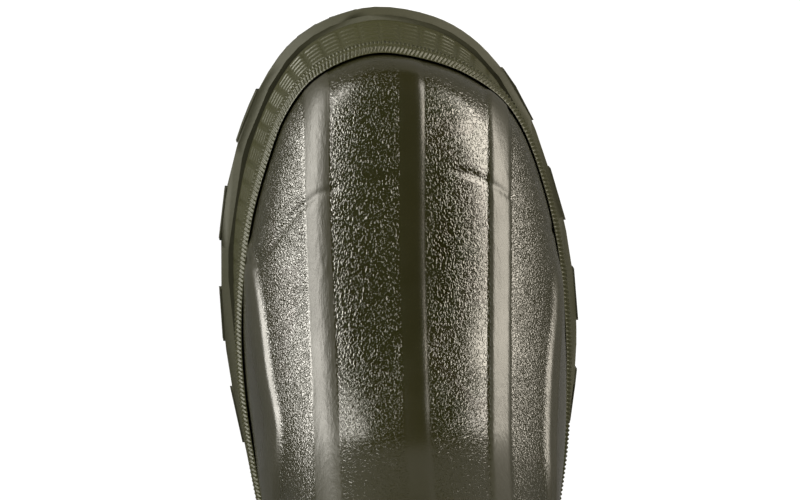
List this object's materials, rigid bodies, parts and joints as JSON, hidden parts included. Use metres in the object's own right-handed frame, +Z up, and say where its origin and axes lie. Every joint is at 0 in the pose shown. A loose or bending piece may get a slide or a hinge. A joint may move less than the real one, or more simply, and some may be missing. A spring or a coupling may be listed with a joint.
{
  "type": "insulated rubber hunting boot",
  "caption": "knee-high pull-on rubber boot with ribbed vamp, textured foxing, lugged sole, insulated layered lining, calf gusset, strap and cam buckle",
  "frame": {"origin": "on the ground under the middle of the boot's bounds", "axes": "+Z up, +Y to the toe, +X to the outer side of the foot"},
  "size_m": [0.1349, 0.3137, 0.4645],
  "materials": {
    "sole_rubber": "matte",
    "dark_rubber": "satin",
    "olive_rubber": "semi-gloss",
    "steel": "satin",
    "foam": "matte",
    "neoprene": "matte",
    "fleece": "matte",
    "knit_lining": "matte",
    "stiffener_board": "matte",
    "footbed_foam": "matte",
    "webbing": "matte"
  },
  "bodies": {
    "boot": {"outsole": "sole_rubber", "shank": "steel", "midsole": "foam", "foxing_band": "dark_rubber", "trim_strip": "dark_rubber", "kick_off_ledge": "dark_rubber", "foot_shell": "olive_rubber", "shaft_shell": "olive_rubber", "ankle_band": "olive_rubber", "heel_overlay": "dark_rubber", "toe_puff": "stiffener_board", "heel_counter": "stiffener_board", "neoprene_bootie": "neoprene", "insulation": "fleece", "lining": "knit_lining", "insole_board": "stiffener_board", "footbed": "footbed_foam", "footbed_cover": "knit_lining", "gusset_panel": "webbing", "top_binding": "webbing", "calf_strap": "webbing", "buckle_base": "steel", "buckle_pin": "steel", "strap_rivet_rear": "steel", "strap_rivet_front": "steel", "buckle_rivet_upper": "steel", "buckle_rivet_lower": "steel", "pull_loop_front": "webbing", "pull_loop_back": "webbing"},
    "lever": {"buckle_lever": "steel"},
    "keeper": {"strap_keeper": "dark_rubber"}
  },
  "joints": [
    {"name": "lever_hinge", "type": "hinge", "parent": "boot", "child": "lever", "pos_m": [0.0627, -0.06092, 0.386], "axis": [0, 0, 1], "range_deg": [0, 85]},
    {"name": "keeper_slide", "type": "slide", "parent": "boot", "child": "keeper", "axis": [-0.3427, 0.9394, 0], "range_m": [-0.007, 0.009]}
  ]
}
